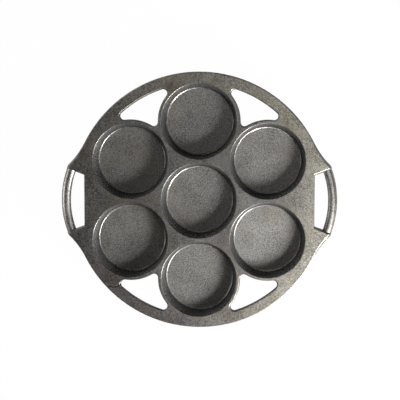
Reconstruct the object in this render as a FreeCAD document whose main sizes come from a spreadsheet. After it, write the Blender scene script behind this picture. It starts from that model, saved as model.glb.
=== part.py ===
import FreeCAD, Part
import math
import os
import Sketcher

# A cast iron pan for seven small cakes, in millimetres.
# Its cup bottoms stand on the XY plane, +Z is up and the grips lie at the two ends of the X axis.
# It is one casting. The mould parts at the underside of the deck: what stands above that plane
# narrows upwards, and what hangs below it narrows downwards.

SIZES = {
    "mouth_radius": ("43.5", "inside radius of a cup, at the deck"),
    "cup_depth": ("25.5", "depth of a cup below the deck's top"),
    "cup_draft": ("9.5", "slope of a cup's wall, in degrees from upright"),
    "cup_wall": ("4.4", "thickness of a cup's wall, measured level"),
    "floor_thickness": ("4", "thickness of a cup's floor"),
    "rim_round": ("0.7", "rounding of a cup's mouth"),
    "floor_round": ("1.8", "rounding inside, between floor and wall"),
    "base_round": ("4", "rounding outside, under a cup's edge"),
    "wall_round": ("2.5", "rounding outside, between a cup's wall and the deck"),
    "cup_land": ("4.3", "narrowest strip of deck between two mouths"),
    "deck_thickness": ("5.5", "thickness of the deck"),
    "edge_inset": ("1", "slope of the deck's edges, measured level"),
    "edge_round": ("0.8", "rounding of the deck's top edges"),
    "rim_land": ("13.2", "deck from an outer cup's mouth to the pan's edge"),
    "ring_width": ("13.5", "width of the ring outside the openings"),
    "opening_land": ("0.6", "ledge from a cup's wall to an opening's edge"),
    "opening_corner": ("4.6", "corner radius of the openings"),
    "grip_overhang": ("11.1", "how far a grip reaches past the round deck"),
    "bar_width": ("10.6", "width of a grip's bar"),
    "bar_drop": ("2.4", "from the deck's top down to the top of the bar"),
    "bar_belly": ("3.3", "how far the bar hangs below the deck's underside"),
    "bend_radius": ("101.8", "radius that the middle of the bar bends to"),
    "gap_width": ("15.5", "width of the finger gap at its middle"),
    "gap_length": ("58.6", "length of the finger gap along the deck"),
    "gap_corner": ("1.2", "corner radius of the finger gap"),
    "gap_rim": ("3", "width of the rim below the deck, along the gap"),
    "end_inset": ("1.8", "slope of the lug's face at the end of the bar"),
    "end_round": ("1.2", "corner radius of the lug beside the bar"),
    "nose_margin": ("0.4", "how far a lug stands out past the bar"),
    "nose_width": ("3.4", "width of the lug's nose at the deck's underside"),
    "nose_inset": ("3", "slope of the lug's nose"),
    "nose_top_width": ("1.9", "width of the lug's nose at the deck's top"),
    "tip_round": ("4", "rounding from nose to flank, at the deck's underside"),
    "tip_top_round": ("1.5", "rounding from nose to flank, at the deck's top"),
    "flank_radius": ("94", "hollow of the lug's flank, at the deck's underside"),
    "flank_top_radius": ("66", "hollow of the lug's flank, at the deck's top"),
    "parting_ledge": ("0.4", "mismatch of the two mould halves"),
    "foot_depth": ("3.5", "how far lugs and gap rim hang below the deck"),
    "foot_inset": ("0.6", "slope of what hangs below the deck"),
}

RING_CUPS = 6
CUT_CLEARANCE = 1.0
FLAT = 1e-6

doc = FreeCAD.newDocument("MiniCakePan")
sizes = doc.addObject("Spreadsheet::Sheet", "Sizes")
for row, (alias, (amount, meaning)) in enumerate(SIZES.items(), start=1):
    sizes.set(f"A{row}", meaning)
    sizes.set(f"B{row}", amount)
    sizes.setAlias(f"B{row}", alias)
doc.recompute()

# Lengths that follow from the sizes above

TOP = "(Sizes.cup_depth + Sizes.floor_thickness)"
UNDERSIDE = f"({TOP} - Sizes.deck_thickness)"
PITCH = "(2 * Sizes.mouth_radius + Sizes.cup_land)"
DISC = f"({PITCH} + Sizes.mouth_radius + Sizes.rim_land)"
WALL_RADIUS = "(Sizes.mouth_radius - Sizes.deck_thickness * tan(Sizes.cup_draft * 1deg) + Sizes.cup_wall)"
REACH = f"({DISC} + Sizes.grip_overhang)"
GAP_SIDE = f"({REACH} - Sizes.bar_width - Sizes.gap_width)"
BEND_X = f"({REACH} - Sizes.bar_width / 2 - Sizes.bend_radius)"
NOSE = "(Sizes.bend_radius + Sizes.bar_width / 2 + Sizes.nose_margin)"
EDGE_DRAFT = "atan(Sizes.edge_inset / Sizes.deck_thickness)"


def number(expression):
    """The value that an expression has with the present sizes."""
    result = sizes.evalExpression(expression)
    return float(getattr(result, "Value", result))


body = doc.addObject("PartDesign::Body", "CakePan")
body.Label = "cake_pan"


def origin_feature(role):
    return next(item for item in body.Origin.OriginFeatures if item.Role == role)


def unit(angle):
    return FreeCAD.Vector(math.cos(angle), math.sin(angle), 0)


class Profile:
    """A sketch drawn as closed chains of lines and arcs, with its sizes bound to the sheet."""

    def __init__(self, name, plane, height="0"):
        self.sketch = body.newObject("Sketcher::SketchObject", name)
        self.sketch.AttachmentSupport = (origin_feature(plane), [""])
        self.sketch.MapMode = "FlatFace"
        self.sketch.setExpression("AttachmentOffset.Base.z", height)
        self.ends = {}

    def line(self, start, end, construction=False):
        index = self.sketch.addGeometry(Part.LineSegment(start, end), construction)
        self.ends[index] = (1, 2)
        return index

    def arc(self, centre, radius, start, end, construction=False):
        """An arc from one angle to another, clockwise where the second is smaller."""
        circle = Part.Circle(centre, FreeCAD.Vector(0, 0, 1), radius)
        shape = Part.ArcOfCircle(circle, min(start, end), max(start, end))
        index = self.sketch.addGeometry(shape, construction)
        self.ends[index] = (1, 2) if end > start else (2, 1)
        return index

    def point(self, place):
        return self.sketch.addGeometry(Part.Point(place), True)

    def fix(self, kind, *where):
        self.sketch.addConstraint(Sketcher.Constraint(kind, *where))

    def meet(self, edge, after, smooth=True):
        """Ends one edge where the next begins."""
        self.fix("Tangent" if smooth else "Coincident", edge, self.ends[edge][1], after, self.ends[after][0])

    def size(self, name, expression, kind, *where, angle=False):
        amount = number(expression)
        if angle:
            amount = math.radians(amount)
        index = self.sketch.addConstraint(Sketcher.Constraint(kind, *where, amount))
        self.sketch.renameConstraint(index, name)
        self.sketch.setExpression(f"Constraints.{name}", expression)


# A sketch's own axes and origin, and the points of a line or an arc
X_AXIS, Y_AXIS = -1, -2
ORIGIN = (-1, 1)
START, END, CENTRE = 1, 2, 3


def quarter_outline(name, level, disc, gap_x, gap_y, nose, nose_width, tip_round, flank, rim_x=None):
    """A quarter of the deck seen from above, with half of the grip's gap and one lug.

    The end of the lug lies on a line through the point that the bar bends about.
    Between that line and the round deck come the nose, its rounding and the hollow flank.
    With rim_x it is only the lug and the rim along the gap, out from that distance.
    """
    bend = FreeCAD.Vector(number(BEND_X), 0, 0)
    corner = FreeCAD.Vector(number(gap_x), number(gap_y), 0)
    disc_radius = number(disc)
    nose_radius = number(nose)
    tip_radius = number(tip_round)
    flank_radius = number(flank)
    corner_radius = number("Sizes.gap_corner")
    end_radius = number("Sizes.end_round")

    slope = math.atan2(corner.y, corner.x - bend.x)
    along = unit(slope)
    across = unit(slope + math.pi / 2)
    inside_corner = FreeCAD.Vector(
        corner.x + corner_radius,
        corner.y - corner_radius * (1 - math.sin(slope)) / math.cos(slope),
        0,
    )
    end_run = math.sqrt((nose_radius - end_radius) ** 2 - end_radius**2)
    end_centre = bend + along * end_run + across * end_radius
    nose_start = slope + math.asin(end_radius / (nose_radius - end_radius))
    nose_end = slope + number(nose_width) / nose_radius
    tip_centre = bend + unit(nose_end) * (nose_radius - tip_radius)

    # The flank touches the round deck and the tip's rounding, which places its centre
    to_tip = tip_centre.Length
    to_flank = disc_radius + flank_radius
    tip_to_flank = flank_radius + tip_radius
    opening = math.acos((to_tip**2 + to_flank**2 - tip_to_flank**2) / (2 * to_tip * to_flank))
    flank_angle = math.atan2(tip_centre.y, tip_centre.x) + opening
    flank_centre = unit(flank_angle) * to_flank
    tip_end = math.atan2(flank_centre.y - tip_centre.y, flank_centre.x - tip_centre.x)
    disc_start = unit(flank_angle) * disc_radius
    if rim_x:
        base_start = FreeCAD.Vector(number(rim_x), 0, 0)
        back_start = FreeCAD.Vector(number(rim_x), number(f"{gap_y} + Sizes.gap_rim"), 0)
    else:
        base_start = FreeCAD.Vector()
        back_start = FreeCAD.Vector(0, disc_radius, 0)

    profile = Profile(name, "XY_Plane", level)
    base = profile.line(base_start, FreeCAD.Vector(corner.x, 0, 0))
    side = profile.line(FreeCAD.Vector(corner.x, 0, 0), FreeCAD.Vector(corner.x, inside_corner.y, 0))
    inside = profile.arc(inside_corner, corner_radius, math.pi, slope + math.pi / 2)
    face = profile.line(inside_corner + across * corner_radius, end_centre - across * end_radius)
    end = profile.arc(end_centre, end_radius, slope - math.pi / 2, nose_start)
    front = profile.arc(bend, nose_radius, nose_start, nose_end)
    tip = profile.arc(tip_centre, tip_radius, nose_end, tip_end)
    hollow = profile.arc(flank_centre, flank_radius, tip_end + math.pi, flank_angle + math.pi)
    rim = profile.arc(FreeCAD.Vector(), disc_radius, flank_angle, math.pi / 2, construction=bool(rim_x))
    back = profile.line(back_start, base_start)
    bend_point = profile.point(bend)
    corner_point = profile.point(corner)
    ray = profile.line(bend, bend + unit(nose_end) * nose_radius, construction=True)

    profile.meet(base, side, smooth=False)
    for edge, after in ((side, inside), (inside, face), (face, end), (end, front)):
        profile.meet(edge, after)
    for edge, after in ((front, tip), (tip, hollow), (hollow, rim)):
        profile.meet(edge, after)
    profile.meet(back, base, smooth=False)
    profile.fix("PointOnObject", rim, END, Y_AXIS)
    profile.fix("PointOnObject", base, START, X_AXIS)
    profile.fix("PointOnObject", base, END, X_AXIS)
    profile.fix("Vertical", side)
    profile.fix("Vertical", back)
    profile.fix("PointOnObject", corner_point, START, side)
    profile.fix("PointOnObject", corner_point, START, face)
    profile.fix("PointOnObject", bend_point, START, face)
    profile.fix("PointOnObject", bend_point, START, X_AXIS)
    profile.fix("Coincident", front, CENTRE, bend_point, START)
    profile.fix("Coincident", rim, CENTRE, *ORIGIN)
    profile.fix("Coincident", ray, START, bend_point, START)
    profile.fix("Coincident", ray, END, front, END)
    if rim_x:
        shoulder = profile.line(disc_start, back_start)
        profile.fix("Coincident", hollow, profile.ends[hollow][1], shoulder, START)
        profile.meet(shoulder, back, smooth=False)
        profile.size("rim_x", rim_x, "DistanceX", *ORIGIN, base, START)
        profile.size("rim_y", f"{gap_y} + Sizes.gap_rim", "DistanceY", *ORIGIN, back, START)
    else:
        profile.meet(rim, back, smooth=False)
    profile.size("bend_x", BEND_X, "DistanceX", *ORIGIN, bend_point, START)
    profile.size("gap_x", gap_x, "DistanceX", *ORIGIN, corner_point, START)
    profile.size("gap_y", gap_y, "DistanceY", *ORIGIN, corner_point, START)
    profile.size("gap_corner", "Sizes.gap_corner", "Radius", inside)
    profile.size("end_round", "Sizes.end_round", "Radius", end)
    profile.size("nose", nose, "Radius", front)
    profile.size("tip_round", tip_round, "Radius", tip)
    profile.size("flank", flank, "Radius", hollow)
    profile.size("disc", disc, "Radius", rim)
    nose_turn = f"({nose_width}) / ({nose}) * 180deg / pi"
    profile.size("nose_turn", nose_turn, "Angle", face, START, ray, START, angle=True)
    return profile.sketch


def loft(name, lower, upper):
    feature = body.newObject("PartDesign::AdditiveLoft", name)
    feature.Profile = lower
    feature.Sections = [upper]
    feature.Ruled = True
    doc.recompute()
    return feature


def mirror_body(name, plane):
    """Adds the other half of all that stands so far."""
    feature = body.newObject("PartDesign::Mirrored", name)
    feature.TransformMode = "Whole shape"
    feature.MirrorPlane = (origin_feature(plane), [""])
    body.Tip = feature
    doc.recompute()
    return feature


# Deck with its lugs, and the lugs' feet with the rim along the finger gap

deck_lower = quarter_outline(
    "DeckUnderside",
    UNDERSIDE,
    disc=DISC,
    gap_x=GAP_SIDE,
    gap_y="Sizes.gap_length / 2",
    nose=NOSE,
    nose_width="Sizes.nose_width",
    tip_round="Sizes.tip_round",
    flank="Sizes.flank_radius",
)
deck_upper = quarter_outline(
    "DeckTop",
    TOP,
    disc=f"({DISC} - Sizes.edge_inset)",
    gap_x=f"({GAP_SIDE} - Sizes.edge_inset)",
    gap_y="(Sizes.gap_length / 2 + Sizes.end_inset)",
    nose=f"({NOSE} - Sizes.nose_inset)",
    nose_width="Sizes.nose_top_width",
    tip_round="Sizes.tip_top_round",
    flank="Sizes.flank_top_radius",
)
deck = loft("Deck", deck_lower, deck_upper)


def foot_outline(name, level, inset):
    return quarter_outline(
        name,
        level,
        disc=f"({DISC} - {inset})",
        gap_x=f"({GAP_SIDE} - {inset})",
        gap_y=f"(Sizes.gap_length / 2 + {inset})",
        nose=f"({NOSE} - {inset})",
        nose_width="Sizes.nose_width",
        tip_round="Sizes.tip_round",
        flank=f"(Sizes.flank_radius + {inset})",
        rim_x=f"({GAP_SIDE} - Sizes.gap_rim + {inset})",
    )


foot_upper = foot_outline("FootTop", UNDERSIDE, "Sizes.parting_ledge / 2")
foot_lower = foot_outline(
    "FootBottom",
    f"({UNDERSIDE} - Sizes.foot_depth)",
    "(Sizes.parting_ledge / 2 + Sizes.foot_inset)",
)
foot = loft("Foot", foot_lower, foot_upper)
mirror_body("DeckHalf", "XZ_Plane")
mirror_body("DeckWhole", "YZ_Plane")


# Cups: the outside and the hollow have the same kind of profile, a floor, a rounding, a sloping
# wall and a rounding that runs out into a face of the deck


def cup_profile(name, axis_x, floor, radius, level, low_round, high_round):
    """Half of a cup's section, closed by its axis. The wall has the given radius at the given level."""
    axis = number(axis_x)
    floor_z = number(floor)
    level_z = number(level)
    low = number(low_round)
    high = number(high_round)
    draft = math.radians(number("Sizes.cup_draft"))

    def wall_x(height, offset):
        """Where the wall stands at a height, moved outwards by an offset square to it."""
        return axis + number(radius) - (level_z - height) * math.tan(draft) + offset / math.cos(draft)

    low_centre = FreeCAD.Vector(wall_x(floor_z + low, -low), floor_z + low, 0)
    high_centre = FreeCAD.Vector(wall_x(level_z - high, high), level_z - high, 0)
    outwards = unit(-draft)
    rim_end = FreeCAD.Vector(high_centre.x, level_z, 0)
    lid_end = FreeCAD.Vector(high_centre.x, level_z + CUT_CLEARANCE, 0)
    lid_start = FreeCAD.Vector(axis, level_z + CUT_CLEARANCE, 0)
    floor_start = FreeCAD.Vector(axis, floor_z, 0)
    floor_end = FreeCAD.Vector(low_centre.x, floor_z, 0)

    profile = Profile(name, "YZ_Plane")
    flat = profile.line(floor_start, floor_end)
    low_arc = profile.arc(low_centre, low, -math.pi / 2, -draft)
    wall = profile.line(low_centre + outwards * low, high_centre - outwards * high)
    high_arc = profile.arc(high_centre, high, math.pi - draft, math.pi / 2)
    rise = profile.line(rim_end, lid_end)
    lid = profile.line(lid_end, lid_start)
    centre_line = profile.line(lid_start, floor_start)
    wall_point = profile.point(FreeCAD.Vector(wall_x(level_z, 0), level_z, 0))

    for edge, after in ((flat, low_arc), (low_arc, wall), (wall, high_arc)):
        profile.meet(edge, after)
    for edge, after in ((high_arc, rise), (rise, lid), (lid, centre_line), (centre_line, flat)):
        profile.meet(edge, after, smooth=False)
    profile.fix("Horizontal", flat)
    profile.fix("Horizontal", lid)
    profile.fix("Vertical", rise)
    profile.fix("Vertical", centre_line)
    profile.fix("Vertical", high_arc, CENTRE, rise, START)
    profile.fix("Horizontal", wall_point, START, rise, START)
    profile.fix("PointOnObject", wall_point, START, wall)
    if axis:
        profile.size("axis", axis_x, "DistanceX", *ORIGIN, flat, START)
    else:
        profile.fix("PointOnObject", flat, START, Y_AXIS)
    if floor_z:
        profile.size("floor", floor, "DistanceY", *ORIGIN, flat, START)
    else:
        profile.fix("PointOnObject", flat, START, X_AXIS)
    profile.size("radius", radius, "DistanceX", flat, START, wall_point, START)
    profile.size("level", level, "DistanceY", *ORIGIN, wall_point, START)
    profile.size("low_round", low_round, "Radius", low_arc)
    profile.size("high_round", high_round, "Radius", high_arc)
    profile.size("wall_slope", "90deg - Sizes.cup_draft * 1deg", "Angle", wall, angle=True)
    profile.size("lid", str(CUT_CLEARANCE), "DistanceY", rise, START, rise, END)
    return profile.sketch, f"Edge{centre_line + 1}"


def turn(name, kind, profile):
    """Turns a profile about its centre line, as metal or as a cut."""
    sketch, axis = profile
    feature = body.newObject(kind, name)
    feature.Profile = sketch
    feature.ReferenceAxis = (sketch, [axis])
    feature.Angle = 360
    doc.recompute()
    return feature


def ring(name, original):
    feature = body.newObject("PartDesign::PolarPattern", name)
    feature.Originals = [original]
    feature.Axis = (origin_feature("Z_Axis"), [""])
    feature.Angle = 360
    feature.Occurrences = RING_CUPS
    body.Tip = feature
    doc.recompute()
    return feature


def cup_outside(name, axis_x):
    return cup_profile(name, axis_x, "0", WALL_RADIUS, UNDERSIDE, "Sizes.base_round", "Sizes.wall_round")


def cup_hollow(name, axis_x):
    floor = "Sizes.floor_thickness"
    return cup_profile(name, axis_x, floor, "Sizes.mouth_radius", TOP, "Sizes.floor_round", "Sizes.rim_round")


ADD = "PartDesign::Revolution"
CUT = "PartDesign::Groove"
outer_cup = turn("OuterCup", ADD, cup_outside("OuterCupSection", PITCH))
ring("OuterCups", outer_cup)
turn("MiddleCup", ADD, cup_outside("MiddleCupSection", "0"))

# Openings between two outer cups and the ring, cut with the same slope as the deck's edge


def opening_outline(name, level):
    """One opening at the deck's top, midway between the outer cups on +Y and next to it."""
    half = math.pi / RING_CUPS
    middle = math.pi / 2 - half
    pitch = number(PITCH)
    outer_size = f"({DISC} - Sizes.ring_width + Sizes.edge_inset)"
    cup_size = f"({WALL_RADIUS} + Sizes.opening_land - Sizes.edge_inset)"
    corner_size = "(Sizes.opening_corner + Sizes.edge_inset)"
    outer = number(outer_size)
    cup = number(cup_size)
    corner = number(corner_size)

    to_corner = outer - corner
    cosine = (to_corner**2 + pitch**2 - (cup + corner) ** 2) / (2 * to_corner * pitch)
    swing = math.acos(cosine)
    cups = [unit(middle + half) * pitch, unit(middle - half) * pitch]
    corners = [unit(middle + half - swing) * to_corner, unit(middle - half + swing) * to_corner]
    inner_run = pitch * math.cos(half) + math.sqrt((cup + corner) ** 2 - (pitch * math.sin(half)) ** 2)
    inner = unit(middle) * inner_run

    def heading(place, target):
        return math.atan2(target.y - place.y, target.x - place.x)

    def arc(centre, radius, start, end, clockwise=False):
        """An arc between two headings, taken the stated way round."""
        if clockwise:
            return profile.arc(centre, radius, start, start - (start - end) % (2 * math.pi))
        return profile.arc(centre, radius, start, start + (end - start) % (2 * math.pi))

    origin = FreeCAD.Vector()
    profile = Profile(name, "XY_Plane", level)
    edges = [
        arc(origin, outer, heading(origin, corners[1]), heading(origin, corners[0])),
        arc(corners[0], corner, heading(origin, corners[0]), heading(corners[0], cups[0])),
        arc(cups[0], cup, heading(cups[0], corners[0]), heading(cups[0], inner), clockwise=True),
        arc(inner, corner, heading(inner, cups[0]), heading(inner, cups[1])),
        arc(cups[1], cup, heading(cups[1], inner), heading(cups[1], corners[1]), clockwise=True),
        arc(corners[1], corner, heading(corners[1], cups[1]), heading(origin, corners[1])),
    ]
    for edge, after in zip(edges, edges[1:] + edges[:1]):
        profile.meet(edge, after)
    ring_edge, first_corner, first_cup, inner_corner, second_cup, second_corner = edges
    profile.fix("Coincident", ring_edge, CENTRE, *ORIGIN)
    profile.fix("PointOnObject", first_cup, CENTRE, Y_AXIS)
    profile.size("first_cup", PITCH, "DistanceY", *ORIGIN, first_cup, CENTRE)
    profile.size("second_x", f"{PITCH} * sin({360 / RING_CUPS}deg)", "DistanceX", *ORIGIN, second_cup, CENTRE)
    profile.size("second_y", f"{PITCH} * cos({360 / RING_CUPS}deg)", "DistanceY", *ORIGIN, second_cup, CENTRE)
    profile.size("ring_edge", outer_size, "Radius", ring_edge)
    profile.size("first_side", cup_size, "Radius", first_cup)
    profile.size("second_side", cup_size, "Radius", second_cup)
    profile.size("first_corner", corner_size, "Radius", first_corner)
    profile.size("second_corner", corner_size, "Radius", second_corner)
    profile.size("inner_corner", corner_size, "Radius", inner_corner)
    return profile.sketch


opening = body.newObject("PartDesign::Pocket", "Opening")
opening.Profile = opening_outline("OpeningTop", TOP)
opening.setExpression("Length", f"Sizes.deck_thickness + Sizes.wall_round + {CUT_CLEARANCE}")
opening.setExpression("TaperAngle", f"-{EDGE_DRAFT}")
doc.recompute()
openings = body.newObject("PartDesign::MultiTransform", "Openings")
openings.Originals = [opening]
mirrors = []
for name, plane in (("OpeningsAcross", "XZ_Plane"), ("OpeningsAlong", "YZ_Plane")):
    mirror = body.newObject("PartDesign::Mirrored", name)
    mirror.MirrorPlane = (origin_feature(plane), [""])
    mirrors.append(mirror)
openings.Transformations = mirrors
body.Tip = openings
doc.recompute()


# Rounding along every edge of the deck's top, and then the hollows of the cups


def top_edges(shape):
    """Names of the edges that lie in the plane of the deck's top."""
    level = number(TOP)
    names = []
    for place, edge in enumerate(shape.Edges, start=1):
        box = edge.BoundBox
        if max(abs(box.ZMin - level), abs(box.ZMax - level)) < FLAT:
            names.append(f"Edge{place}")
    return names


rounding = body.newObject("PartDesign::Fillet", "TopRounding")
rounding.Base = (openings, top_edges(openings.Shape))
rounding.setExpression("Radius", "Sizes.edge_round")
doc.recompute()

outer_hollow = turn("OuterHollow", CUT, cup_hollow("OuterHollowSection", PITCH))
ring("OuterHollows", outer_hollow)
turn("MiddleHollow", CUT, cup_hollow("MiddleHollowSection", "0"))


# Grips: a bar of rounded section that bends from one lug to the other


def bar_section(name):
    """The bar's section: a crown above the parting plane and a slightly wider belly below it."""
    middle_size = f"({BEND_X} + Sizes.bend_radius)"
    crown_width = "(Sizes.bar_width - 2 * Sizes.parting_ledge)"
    crown_rise = "(Sizes.deck_thickness - Sizes.bar_drop)"
    crown_size = f"({crown_width}^2 / 8 / {crown_rise} + {crown_rise} / 2)"
    belly_size = "(Sizes.bar_width^2 / 8 / Sizes.bar_belly + Sizes.bar_belly / 2)"
    middle = number(middle_size)
    parting = number(UNDERSIDE)
    crown_half = number(crown_width) / 2
    belly_half = number("Sizes.bar_width") / 2
    crown_radius = number(crown_size)
    belly_radius = number(belly_size)
    crown_centre = FreeCAD.Vector(middle, parting + number(crown_rise) - crown_radius, 0)
    belly_centre = FreeCAD.Vector(middle, parting - number("Sizes.bar_belly") + belly_radius, 0)
    crown_turn = math.asin(crown_half / crown_radius)
    belly_turn = math.asin(belly_half / belly_radius)
    up = math.pi / 2
    down = -math.pi / 2

    def at_parting(offset):
        return FreeCAD.Vector(middle + offset, parting, 0)

    profile = Profile(name, "XZ_Plane")
    crown = profile.arc(crown_centre, crown_radius, up - crown_turn, up + crown_turn)
    left_ledge = profile.line(at_parting(-crown_half), at_parting(-belly_half))
    belly = profile.arc(belly_centre, belly_radius, down - belly_turn, down + belly_turn)
    right_ledge = profile.line(at_parting(belly_half), at_parting(crown_half))
    bend_axis = profile.line(
        FreeCAD.Vector(number(BEND_X), 0, 0),
        FreeCAD.Vector(number(BEND_X), parting, 0),
        construction=True,
    )
    edges = [crown, left_ledge, belly, right_ledge]
    for edge, after in zip(edges, edges[1:] + edges[:1]):
        profile.meet(edge, after, smooth=False)
    profile.fix("Horizontal", left_ledge)
    profile.fix("Horizontal", right_ledge)
    profile.fix("Horizontal", crown, START, crown, END)
    profile.fix("Vertical", bend_axis)
    profile.fix("PointOnObject", bend_axis, START, X_AXIS)
    profile.fix("Vertical", crown, CENTRE, belly, CENTRE)
    profile.size("bend_x", BEND_X, "DistanceX", *ORIGIN, bend_axis, START)
    profile.size("bend_radius", "Sizes.bend_radius", "DistanceX", bend_axis, START, crown, CENTRE)
    profile.size("axis_height", UNDERSIDE, "DistanceY", bend_axis, START, bend_axis, END)
    profile.size("parting", UNDERSIDE, "DistanceY", *ORIGIN, crown, START)
    profile.size("crown_width", crown_width, "DistanceX", crown, END, crown, START)
    profile.size("belly_width", "Sizes.bar_width", "DistanceX", belly, START, belly, END)
    profile.size("crown", crown_size, "Radius", crown)
    profile.size("belly", belly_size, "Radius", belly)
    return profile.sketch


grip = body.newObject("PartDesign::Revolution", "Grip")
grip.Profile = bar_section("BarSection")
grip.ReferenceAxis = (grip.Profile[0], ["Axis0"])
grip.Midplane = True
lug_rise = "(Sizes.gap_length / 2 + Sizes.end_inset)"
grip.setExpression("Angle", f"2 * atan({lug_rise} / ({GAP_SIDE} - Sizes.edge_inset - {BEND_X}))")
doc.recompute()
grips = body.newObject("PartDesign::Mirrored", "Grips")
grips.Originals = [grip]
grips.MirrorPlane = (origin_feature("YZ_Plane"), [""])
body.Tip = grips
doc.recompute()


def check_casting():
    """Stops the macro if a feature has failed or the casting isn't one sound solid."""
    for item in doc.Objects:
        if "Invalid" in item.State or "Error" in item.State:
            raise RuntimeError(f"{item.Name} has failed: {item.State}")
    if body.Shape.isNull() or not body.Shape.isValid():
        raise RuntimeError(f"{body.Label} has no sound shape")
    if len(body.Shape.Solids) != 1:
        raise RuntimeError(f"{body.Label} has come apart")


check_casting()
os.makedirs("parts", exist_ok=True)
body.Shape.exportStep(f"parts/{body.Label}.step")
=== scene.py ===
import math

import bpy
from mathutils import Matrix, Vector


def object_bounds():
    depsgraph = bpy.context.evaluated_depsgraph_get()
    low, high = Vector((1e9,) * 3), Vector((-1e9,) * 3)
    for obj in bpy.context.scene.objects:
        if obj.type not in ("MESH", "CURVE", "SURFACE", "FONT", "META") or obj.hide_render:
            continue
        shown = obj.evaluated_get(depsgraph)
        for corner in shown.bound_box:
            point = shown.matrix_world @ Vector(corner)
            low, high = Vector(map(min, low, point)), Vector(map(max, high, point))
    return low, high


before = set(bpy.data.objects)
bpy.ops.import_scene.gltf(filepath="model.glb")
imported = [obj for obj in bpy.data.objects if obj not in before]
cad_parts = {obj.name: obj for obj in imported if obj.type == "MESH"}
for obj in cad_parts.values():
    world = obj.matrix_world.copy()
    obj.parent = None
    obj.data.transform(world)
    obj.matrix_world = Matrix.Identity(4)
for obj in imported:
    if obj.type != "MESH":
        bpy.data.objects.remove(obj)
cad_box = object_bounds()

scene = bpy.context.scene
MM = 0.001

# The CAD model's box. Nothing is higher than the deck's top
LOW, HIGH = (Vector(corner) for corner in cad_box)
DECK_TOP = HIGH.z

# The photograph's camera: its place from the middle of the deck's top, and its angles in radians
IMAGE_WIDTH_PX = 400
FOCAL_LENGTH_PX = 1150.9
SENSOR_WIDTH_MM = 36.0
CAMERA_FROM_DECK = Vector((40.77, 122.55, 1317.01)) * MM
CAMERA_PITCH = 0.09188
CAMERA_YAW = -0.03014
CAMERA_ROLL = -0.00155

# The sizes of the blotches in the iron's skin
GRAIN_SIZE = 1.25 * MM
SAND_SIZE = 0.6 * MM
CLOUD_SIZE = 22 * MM
STAIN_SIZE = 45 * MM
SPECK_SIZE = 4 * MM
NOISE_ROUGHNESS = 0.55

# The iron's colour: from dark to light by grain and cloud, and browner where it is stained
DARK_IRON = (0.054, 0.0522, 0.0494, 1)
LIGHT_IRON = (0.207, 0.2016, 0.191, 1)
BROWN_IRON = (0.149, 0.12, 0.091, 1)
GRAIN_SHARE, CLOUD_SHARE = 0.8, 0.2
TONE_RANGE = (0.37, 0.63)
STAIN_RANGE = (0.5, 0.75)
STAIN_SHARE = 0.4

# The iron's surface: the grain's relief, and a satin that varies with grain and cloud
RELIEF_DEPTH = 0.18 * MM
SAND_SHARE = 0.35
SATIN_NOISE = (0.8, 1.2)
SATIN_ROUGHNESS = (0.50, 0.60)
GRAZING_TINT = (0, 0, 0, 1)

# The cups: how far under the deck's top their painted light begins, and where it is full. In the
# cups the colour is made lighter as painted light
CUP_SKIN_FROM, CUP_SKIN_TO = 0.5 * MM, 2.5 * MM
CUP_PAINTED_LIGHT = 1.6

# Walls and rounded edges, by the upward part of the normal. Both are smooth. The walls' colour is
# made lighter and cooler as a painted sheen, and the edges' colour lighter as a painted highlight
WALL_RANGE = (0.5, 0.25)
WALL_PAINTED_SHEEN = (1.12, 1.15, 1.205)
WALL_ROUGHNESS = 0.55
EDGE_RANGE = (0.98, 0.90)
EDGE_PAINTED_HIGHLIGHT = 1.45
EDGE_ROUGHNESS = 0.38
SMOOTH_RELIEF = 0.01

# The deck's border is warmer towards one side; it is also lighter there as painted light, and
# darker at the other side as painted shade
BORDER_FROM, BORDER_TO = 95 * MM, 138 * MM
LIGHTER_SIDE_DEGREES = 30
PAINTED_SHADE_SKIN = (0.86, 0.82, 0.83, 1)
PAINTED_LIGHT_SKIN = (1.65, 1.62, 1.47, 1)

# A cold shut across the lower left of the border, with a light patch beside it. The cold shut is
# darkened as painted shade in its groove
CREASE = [
    Vector((-104.8, -99.8, 0)) * MM,
    Vector((-98.4, -101.3, 0)) * MM,
    Vector((-91.2, -98.0, 0)) * MM,
]
CREASE_OUTER, CREASE_INNER = 1.1 * MM, 0.5 * MM
CREASE_NOISE = (0.3, 0.7)
CREASE_WANDER = 0.5 * MM
CREASE_PAINTED_SHADE = 0.25
PATCH = Vector((-99.3, -103.0, 0)) * MM
PATCH_OUTER, PATCH_INNER = 3.5 * MM, 2.2 * MM
PATCH_SHARE = 0.5
PATCH_LIFT = 1.6

# A rusty spot at the upper left of the border
RUST_SPOT = Vector((-34.0, 132.0, 0)) * MM
RUST_OUTER, RUST_INNER = 8 * MM, 2 * MM
RUST_SPECKS = (0.4, 0.6)
RUST_SHARE = 0.6
RUST = (0.10, 0.065, 0.035, 1)

# The floor is a little under the cups, so that their bottoms don't lie in it
FLOOR_SIZE = 8.0
FLOOR_GAP = 0.05 * MM
FLOOR_COLOUR = (0.8, 0.8, 0.8, 1)
FLOOR_GLOW_SHARE = 0.985

# The studio. Each lamp: name, azimuth and elevation in degrees, distance and size in m, power in W
WORLD_COLOUR = (0.004, 0.004, 0.004, 1)
LAMPS = [
    ("key", -40, 40, 0.70, (0.23, 0.23), 7.1),
    ("mid_key", -45, 24, 0.63, (0.20, 0.20), 2.5),
    ("low_key", -40, 8, 0.63, (0.24, 0.16), 5.0),
    ("back_bounce", 130, 8, 1.2, (0.8, 0.3), 4.0),
    ("left_bounce", 180, 8, 1.6, (0.6, 0.4), 4.3),
    ("left_fill", 180, 24, 1.2, (0.4, 0.4), 1.6),
    ("overhead", 50, 76, 0.9, (0.3, 0.3), 0.85),
]


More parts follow.
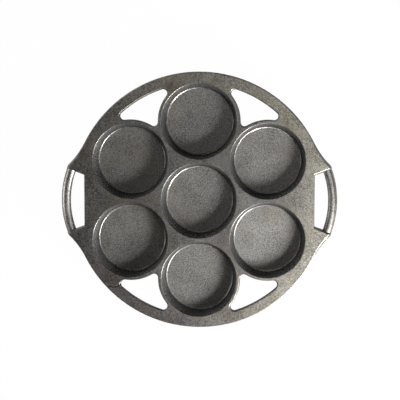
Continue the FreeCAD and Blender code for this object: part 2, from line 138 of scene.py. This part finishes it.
def make_camera():
    """The camera looks almost straight down from behind the middle of the pan."""
    tilt = Matrix.Rotation(CAMERA_PITCH, 3, "X") @ Matrix.Rotation(CAMERA_YAW, 3, "Y")
    turn = (tilt @ Matrix.Rotation(CAMERA_ROLL, 3, "Z")).transposed()
    data = bpy.data.cameras.new("photo_camera")
    data.sensor_width = SENSOR_WIDTH_MM
    data.lens = FOCAL_LENGTH_PX * SENSOR_WIDTH_MM / IMAGE_WIDTH_PX
    camera = bpy.data.objects.new("photo_camera", data)
    place = CAMERA_FROM_DECK + Vector((0, 0, DECK_TOP))
    camera.matrix_world = Matrix.Translation(place) @ turn.to_4x4()
    scene.collection.objects.link(camera)
    scene.camera = camera


class Nodes:
    """A material's node tree, with a short way to add and join nodes."""

    def __init__(self, name):
        self.material = bpy.data.materials.new(name)
        self.material.use_nodes = True
        self.tree = self.material.node_tree
        self.tree.nodes.clear()

    def add(self, kind, inputs=None, **settings):
        """A new node. Each input is another node's socket or a plain value."""
        node = self.tree.nodes.new(kind)
        for name, value in settings.items():
            setattr(node, name, value)
        for socket, value in (inputs or {}).items():
            if isinstance(value, bpy.types.NodeSocket):
                self.tree.links.new(value, node.inputs[socket])
            else:
                node.inputs[socket].default_value = value
        return node

    def output(self, shader):
        """The finished material, with this shader on its surface."""
        self.add("ShaderNodeOutputMaterial", {"Surface": shader.outputs[0]})
        return self.material

    def noise(self, place, size, detail=3.0, seed=0.0):
        """Noise whose blotches are about size across, in metres."""
        values = {"Vector": place, "Scale": 1 / size, "Detail": detail, "W": seed}
        values["Roughness"] = NOISE_ROUGHNESS
        return self.add("ShaderNodeTexNoise", values, noise_dimensions="4D").outputs["Fac"]

    def fit(self, value, low, high, to_low=0.0, to_high=1.0):
        """The value stretched from one range to another, and held within it."""
        values = {"Value": value, "From Min": low, "From Max": high}
        values.update({"To Min": to_low, "To Max": to_high})
        return self.add("ShaderNodeMapRange", values).outputs["Result"]

    def blend(self, share, first, second):
        """The first value where the share is 0, and the second where it is 1."""
        return self.fit(share, 0.0, 1.0, first, second)

    def opposite(self, share):
        return self.blend(share, 1.0, 0.0)

    def mix(self, share, first, second):
        """The first colour where the share is 0, and the second where it is 1."""
        sockets = {0: share, 6: first, 7: second}
        return self.add("ShaderNodeMix", sockets, data_type="RGBA").outputs[2]

    def math(self, operation, first, second=0.0):
        return self.add("ShaderNodeMath", {0: first, 1: second}, operation=operation).outputs[0]

    def vector(self, operation, first, second, output="Vector"):
        sockets = {0: first, 1: second}
        node = self.add("ShaderNodeVectorMath", sockets, operation=operation)
        return node.outputs[output]

    def scale(self, vector, factor):
        """The vector or colour times one number."""
        sockets = {0: vector, "Scale": factor}
        return self.add("ShaderNodeVectorMath", sockets, operation="SCALE").outputs["Vector"]

    def upward(self, vector):
        return self.add("ShaderNodeSeparateXYZ", {"Vector": vector}).outputs["Z"]

    def distance(self, place, point):
        return self.vector("DISTANCE", place, point, "Value")

    def distance_to_line(self, place, start, end):
        """How far a place is from the straight line between two points."""
        line = end - start
        away = self.vector("SUBTRACT", place, start)
        along = self.fit(self.vector("DOT_PRODUCT", away, line, "Value"), 0.0, line.length_squared)
        return self.distance(away, self.scale(line, along))


class IronSkin(Nodes):
    """Cast iron with its baked oil. Cups, walls and edges are shares from 0 to 1."""

    def __init__(self):
        super().__init__("seasoned_iron")
        coordinates = self.add("ShaderNodeTexCoord").outputs
        self.place = coordinates["Object"]
        self.flat = self.vector("MULTIPLY", self.place, (1, 1, 0))
        self.grain = self.noise(self.place, GRAIN_SIZE, detail=2.0)
        self.cloud = self.noise(self.place, CLOUD_SIZE, detail=4.0, seed=7.0)

        skin_from, skin_to = DECK_TOP - CUP_SKIN_FROM, DECK_TOP - CUP_SKIN_TO
        self.cups = self.fit(self.upward(self.place), skin_from, skin_to)
        upright = self.math("ABSOLUTE", self.upward(coordinates["Normal"]))
        self.walls = self.fit(upright, *WALL_RANGE)
        rounded = self.fit(upright, *EDGE_RANGE)
        self.edges = self.math("MULTIPLY", rounded, self.opposite(self.walls))

    def iron_colour(self):
        """A fine sandy grain, browner in stains, with painted light in the cups, a painted sheen
        on the walls and a painted highlight on the edges.
        """
        grain_part = self.math("MULTIPLY", self.grain, GRAIN_SHARE)
        cloud_part = self.math("MULTIPLY", self.cloud, CLOUD_SHARE)
        tone = self.fit(self.math("ADD", grain_part, cloud_part), *TONE_RANGE)
        colour = self.mix(tone, DARK_IRON, LIGHT_IRON)
        stain = self.noise(self.place, STAIN_SIZE, seed=11.0)
        stain = self.fit(stain, *STAIN_RANGE, 0.0, STAIN_SHARE)
        stain = self.math("MULTIPLY", stain, self.opposite(self.walls))
        colour = self.mix(stain, colour, BROWN_IRON)
        # Painted light: the cups are made lighter
        colour = self.mix(self.cups, colour, self.scale(colour, CUP_PAINTED_LIGHT))
        # Painted sheen: the walls are made lighter and cooler
        colour = self.mix(self.walls, colour, self.vector("MULTIPLY", colour, WALL_PAINTED_SHEEN))
        # Painted highlight: the rounded edges are made lighter
        return self.mix(self.edges, colour, self.scale(colour, EDGE_PAINTED_HIGHLIGHT))

    def with_painted_border_light(self, colour):
        """The colour with the deck's border warmer and with painted light towards one side, and
        painted shade at the other, by its direction from the middle.
        """
        turn = math.radians(LIGHTER_SIDE_DEGREES)
        lighter_way = Vector((math.cos(turn), math.sin(turn), 0)) / BORDER_TO
        toward = self.vector("DOT_PRODUCT", self.flat, lighter_way, "Value")
        # Painted light on one side of the border and painted shade on the other, with a warmer
        # tint on the lit side
        skin = self.mix(self.fit(toward, -1.0, 1.0), PAINTED_SHADE_SKIN, PAINTED_LIGHT_SKIN)
        border = self.fit(self.distance(self.flat, (0, 0, 0)), BORDER_FROM, BORDER_TO)
        border = self.math("MULTIPLY", border, self.opposite(self.cups))
        return self.mix(border, colour, self.vector("MULTIPLY", colour, skin))

    def with_rust(self, colour):
        away = self.distance(self.flat, RUST_SPOT)
        rust = self.fit(away, RUST_OUTER, RUST_INNER, 0.0, RUST_SHARE)
        specks = self.fit(self.noise(self.place, SPECK_SIZE, seed=17.0), *RUST_SPECKS)
        return self.mix(self.math("MULTIPLY", rust, specks), colour, RUST)

    def with_crease(self, colour, crease):
        away = self.distance(self.flat, PATCH)
        patch = self.fit(away, PATCH_OUTER, PATCH_INNER, 0.0, PATCH_SHARE)
        colour = self.mix(patch, colour, self.scale(colour, PATCH_LIFT))
        # Painted shade: the crease is darkened
        return self.mix(crease, colour, self.scale(colour, CREASE_PAINTED_SHADE))

    def crease(self):
        """Where the cold shut is. It wanders with the grain."""
        parts = [self.distance_to_line(self.flat, *ends) for ends in zip(CREASE, CREASE[1:])]
        wander = self.fit(self.grain, *CREASE_NOISE, -CREASE_WANDER, CREASE_WANDER)
        away = self.math("ADD", self.math("MINIMUM", *parts), wander)
        return self.fit(away, CREASE_OUTER, CREASE_INNER)

    def relief(self, crease):
        """The normal of the grainy surface, with the crease cut in."""
        sand = self.noise(self.place, SAND_SIZE, detail=1.0, seed=3.0)
        height = self.math("ADD", self.grain, self.math("MULTIPLY", sand, SAND_SHARE))
        height = self.math("SUBTRACT", height, crease)
        strength = self.blend(self.math("MAXIMUM", self.walls, self.edges), 1.0, SMOOTH_RELIEF)
        values = {"Height": height, "Strength": strength, "Distance": RELIEF_DEPTH}
        return self.add("ShaderNodeBump", values).outputs["Normal"]

    def roughness(self):
        satin = self.fit(self.math("ADD", self.grain, self.cloud), *SATIN_NOISE, *SATIN_ROUGHNESS)
        satin = self.blend(self.edges, satin, EDGE_ROUGHNESS)
        return self.blend(self.walls, satin, WALL_ROUGHNESS)


def iron_material():
    skin = IronSkin()
    crease = skin.crease()
    colour = skin.with_rust(skin.with_painted_border_light(skin.iron_colour()))
    values = {
        "Base Color": skin.with_crease(colour, crease),
        "Metallic": 1.0,
        "Roughness": skin.roughness(),
        "Specular Tint": GRAZING_TINT,
        "Normal": skin.relief(crease),
    }
    return skin.output(skin.add("ShaderNodeBsdfPrincipled", values))


def floor_material():
    """A pale sheet that is seen as white, and that still takes a faint shadow."""
    nodes = Nodes("white_floor")
    sheet = nodes.add("ShaderNodeBsdfDiffuse", {"Color": FLOOR_COLOUR})
    glow = nodes.add("ShaderNodeEmission", {"Color": (1, 1, 1, 1), "Strength": 1.0})
    path = nodes.add("ShaderNodeLightPath").outputs
    seen = nodes.math("ADD", path["Is Camera Ray"], path["Is Glossy Ray"])
    seen = nodes.math("MINIMUM", nodes.math("ADD", seen, path["Is Transmission Ray"]), 1.0)
    share = nodes.math("MULTIPLY", seen, FLOOR_GLOW_SHARE)
    shaders = {0: share, 1: sheet.outputs[0], 2: glow.outputs[0]}
    return nodes.output(nodes.add("ShaderNodeMixShader", shaders))


def make_floor():
    bpy.ops.mesh.primitive_plane_add(size=FLOOR_SIZE, location=(0, 0, LOW.z - FLOOR_GAP))
    floor = bpy.context.object
    floor.name = "floor"
    floor.data.materials.append(floor_material())


def make_world():
    world = bpy.data.worlds.new("studio")
    world.use_nodes = True
    world.node_tree.nodes["Background"].inputs["Color"].default_value = WORLD_COLOUR
    scene.world = world


def area_light(name, azimuth, elevation, distance, size, power):
    """A soft light that looks at the middle of the deck's top."""
    turn, rise = math.radians(azimuth), math.radians(elevation)
    level = math.cos(rise)
    towards = Vector((math.cos(turn) * level, math.sin(turn) * level, math.sin(rise)))
    data = bpy.data.lights.new(name, "AREA")
    data.shape = "RECTANGLE"
    data.size, data.size_y = size
    data.energy = power
    light = bpy.data.objects.new(name, data)
    light.location = towards * distance + Vector((0, 0, DECK_TOP))
    light.rotation_euler = towards.to_track_quat("Z", "Y").to_euler()
    scene.collection.objects.link(light)


make_camera()
make_floor()
make_world()
for lamp in LAMPS:
    area_light(*lamp)

iron = iron_material()
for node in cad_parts.values():
    node.data.materials.clear()
    node.data.materials.append(iron)

scene.view_settings.view_transform = "Standard"
